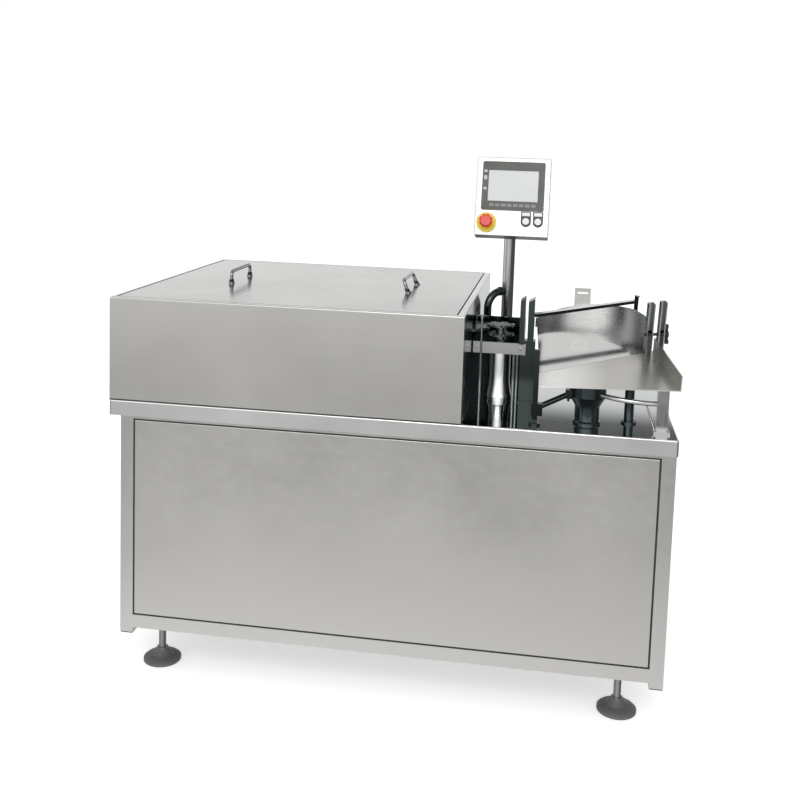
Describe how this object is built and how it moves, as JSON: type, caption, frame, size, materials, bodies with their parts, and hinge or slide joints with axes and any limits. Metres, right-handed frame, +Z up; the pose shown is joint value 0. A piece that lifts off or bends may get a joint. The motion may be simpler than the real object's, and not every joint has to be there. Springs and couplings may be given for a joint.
{
  "type": "rotary vial washing machine",
  "caption": "Floor-standing stainless rotary washer for small glass vials: covered turret, star wheel, tilted infeed hopper and touch panel on a pole.",
  "frame": {"origin": "on the floor under the centre of the table top", "axes": "+X to the right of the operator along the table, +Y away from the operator, +Z up"},
  "size_m": [1.5019, 1, 1.4429],
  "materials": {
    "satin_steel": "satin stainless sheet",
    "polished_steel": "polished stainless",
    "machined_steel": "machined stainless",
    "bright_bar": "bright stainless bar",
    "dark_knob": "moulded",
    "control_box": "satin",
    "dark_bezel": "fine texture",
    "screen": "switched-off display",
    "keys": "membrane",
    "estop_yellow": "moulded",
    "estop_red": "moulded",
    "black_plastic": "moulded",
    "white_plastic": "moulded",
    "machinery_paint": "satin",
    "foot_grey": "grey moulded pad over a steel core and stem"
  },
  "bodies": {
    "cabinet": {"base_frame": "satin_steel", "back_panel": "satin_steel", "side_panels": "satin_steel", "cover_box": "satin_steel", "hopper_apron": "satin_steel", "table_pan": "polished_steel", "hopper_deck": "polished_steel", "hopper_guard": "polished_steel", "star_column": "polished_steel", "pedestal": "polished_steel", "guide_bar": "polished_steel", "guide_bar_rods": "polished_steel", "star_back_guard": "polished_steel", "transfer_housing": "polished_steel", "spray_manifold": "polished_steel", "floor_pan": "machined_steel", "lock_nuts": "machined_steel", "table_bolts": "machined_steel", "water_tank": "machined_steel", "filter_housings": "machined_steel", "water_pipes": "machined_steel", "infeed_post": "bright_bar", "guide_rail": "bright_bar", "channel_posts": "bright_bar", "rear_bracket": "bright_bar", "brace_post_left": "bright_bar", "brace_arm_left": "bright_bar", "brace_post_right": "bright_bar", "brace_ring": "bright_bar", "brace_column_back": "bright_bar", "panel_pole": "bright_bar", "conduit_elbow": "bright_bar", "leg_plugs": "black_plastic", "drive_unit": "machinery_paint", "water_pump": "machinery_paint", "electrical_box": "machinery_paint"},
    "front_panel": {"front_panel": "satin_steel"},
    "lid": {"cover_lid": "satin_steel", "lid_handles": "polished_steel"},
    "turret": {"turret_shaft": "machined_steel", "turret_plate": "machined_steel", "turret_gear": "machined_steel"},
    "transfer": {"transfer_shaft": "machined_steel", "transfer_wheel": "machined_steel"},
    "star": {"star_shaft": "machined_steel", "star_wheel": "machined_steel"},
    "foot_front_left": {"foot_front_left": "foot_grey"},
    "foot_back_left": {"foot_back_left": "foot_grey"},
    "foot_front_right": {"foot_front_right": "foot_grey"},
    "foot_back_right": {"foot_back_right": "foot_grey"},
    "swivel": {"swivel_collar": "bright_bar"},
    "control_head": {"hmi_case": "control_box", "hmi_bezel": "dark_bezel", "hmi_screen": "screen", "hmi_keys": "keys", "estop_ring": "estop_yellow", "button_holders": "black_plastic"},
    "estop": {"estop_mushroom": "estop_red"},
    "start_button": {"button_left": "white_plastic"},
    "stop_button": {"button_right": "white_plastic"},
    "clamp_knob": {"clamp_knob": "dark_knob"}
  },
  "joints": [
    {"name": "front_panel_lift_out", "type": "slide", "parent": "cabinet", "child": "front_panel", "axis": [0, -1, 0], "range_m": [0, 0.3]},
    {"name": "lid_lift_off", "type": "slide", "parent": "cabinet", "child": "lid", "axis": [0, 0, 1], "range_m": [0, 0.14]},
    {"name": "turret_spin", "type": "hinge", "parent": "cabinet", "child": "turret", "pos_m": [-0.27532, -0.03704, 0.74], "axis": [0, 0, 1], "continuous": true},
    {"name": "transfer_spin", "type": "hinge", "parent": "cabinet", "child": "transfer", "pos_m": [0.17588, -0.16132, 0.74], "axis": [0, 0, 1], "continuous": true},
    {"name": "star_spin", "type": "hinge", "parent": "cabinet", "child": "star", "pos_m": [0.28, -0.19, 0.74], "axis": [0, 0, 1], "continuous": true},
    {"name": "foot_front_left_level", "type": "slide", "parent": "cabinet", "child": "foot_front_left", "axis": [0, 0, 1], "range_m": [-0.02, 0]},
    {"name": "foot_back_left_level", "type": "slide", "parent": "cabinet", "child": "foot_back_left", "axis": [0, 0, 1], "range_m": [-0.02, 0]},
    {"name": "foot_front_right_level", "type": "slide", "parent": "cabinet", "child": "foot_front_right", "axis": [0, 0, 1], "range_m": [-0.02, 0]},
    {"name": "foot_back_right_level", "type": "slide", "parent": "cabinet", "child": "foot_back_right", "axis": [0, 0, 1], "range_m": [-0.02, 0]},
    {"name": "panel_swivel", "type": "hinge", "parent": "cabinet", "child": "swivel", "pos_m": [0.278, 0.15, 1.26], "axis": [0, 0, 1], "range_deg": [-60, 60]},
    {"name": "panel_tilt", "type": "hinge", "parent": "swivel", "child": "control_head", "pos_m": [0.286, 0.112, 1.26], "axis": [1, 0, 0], "range_deg": [-10, 10], "stiffness_Nm_per_rad": 60, "springref_deg": -0.97},
    {"name": "estop_press", "type": "slide", "parent": "control_head", "child": "estop", "axis": [0, 0.9659, -0.2588], "range_m": [0, 0.006], "stiffness_N_per_m": 300, "springref_m": -0.01},
    {"name": "start_press", "type": "slide", "parent": "control_head", "child": "start_button", "axis": [0, 0.9659, -0.2588], "range_m": [0, 0.004], "stiffness_N_per_m": 40, "springref_m": -0.02},
    {"name": "stop_press", "type": "slide", "parent": "control_head", "child": "stop_button", "axis": [0, 0.9659, -0.2588], "range_m": [0, 0.004], "stiffness_N_per_m": 40, "springref_m": -0.02},
    {"name": "clamp_turn", "type": "hinge", "parent": "cabinet", "child": "clamp_knob", "pos_m": [0.72074, -0.27337, 0.9914], "axis": [0.9734, 0.2252, 0.0417], "continuous": true}
  ],
  "couplings": [
    {"joint": "transfer_spin", "follows": "turret_spin", "ratio": -5.5},
    {"joint": "star_spin", "follows": "turret_spin", "ratio": 11}
  ]
}
